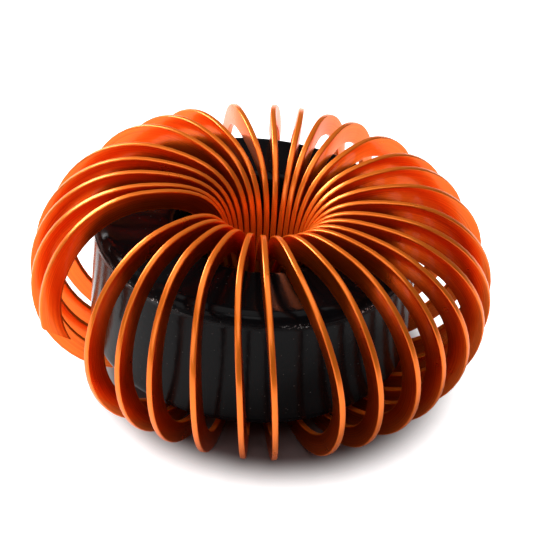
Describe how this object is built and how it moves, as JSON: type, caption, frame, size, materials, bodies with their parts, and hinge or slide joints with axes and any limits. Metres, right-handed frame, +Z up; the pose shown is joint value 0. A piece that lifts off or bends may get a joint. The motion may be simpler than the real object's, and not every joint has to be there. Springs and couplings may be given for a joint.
{
  "type": "toroidal inductor",
  "caption": "Power choke: a coated ring core inside a coil of flat enamelled copper strip wound on edge, which stores energy and smooths current.",
  "frame": {"origin": "on the coil's axis, at the level of the lowest turns, which the part lies on", "axes": "+Z up along the coil's axis; the open gap in the winding with the strip's end faces -X"},
  "size_m": [0.0903, 0.0904, 0.0408],
  "materials": {
    "core_coating": "glossy black epoxy coating with a slight orange-peel skin",
    "enamelled_copper": "clear orange enamel over copper, glossy"
  },
  "bodies": {
    "root": {"core": "core_coating", "coil": "enamelled_copper"}
  },
  "joints": []
}
